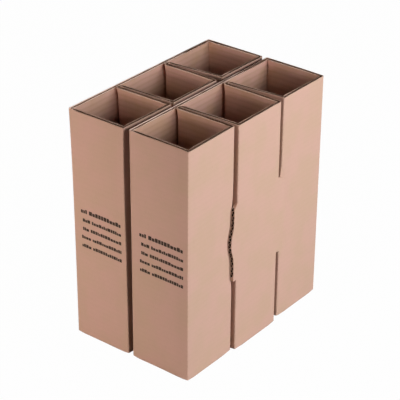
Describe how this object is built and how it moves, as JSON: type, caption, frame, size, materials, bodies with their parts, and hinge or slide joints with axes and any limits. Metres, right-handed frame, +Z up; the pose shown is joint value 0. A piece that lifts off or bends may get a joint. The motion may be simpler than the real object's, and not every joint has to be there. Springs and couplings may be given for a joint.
{
  "type": "bottle shipping box insert",
  "caption": "Folded corrugated board inserts side by side, each a row of square tubes open at top and bottom, for standing bottles in a shipping box.",
  "frame": {"origin": "middle of the pair on the floor plane", "axes": "+Z up along the tubes, +Y from the front walls to the back walls along each row, +X from the left insert to the right insert, towards the side with the slots"},
  "size_m": [0.2074, 0.3014, 0.35],
  "materials": {
    "kraft_board": "uncoated brown kraft liner on both faces, dull, with fine fibre mottle"
  },
  "bodies": {
    "root": {"insert_left": "kraft_board", "insert_right": "kraft_board"}
  },
  "joints": []
}
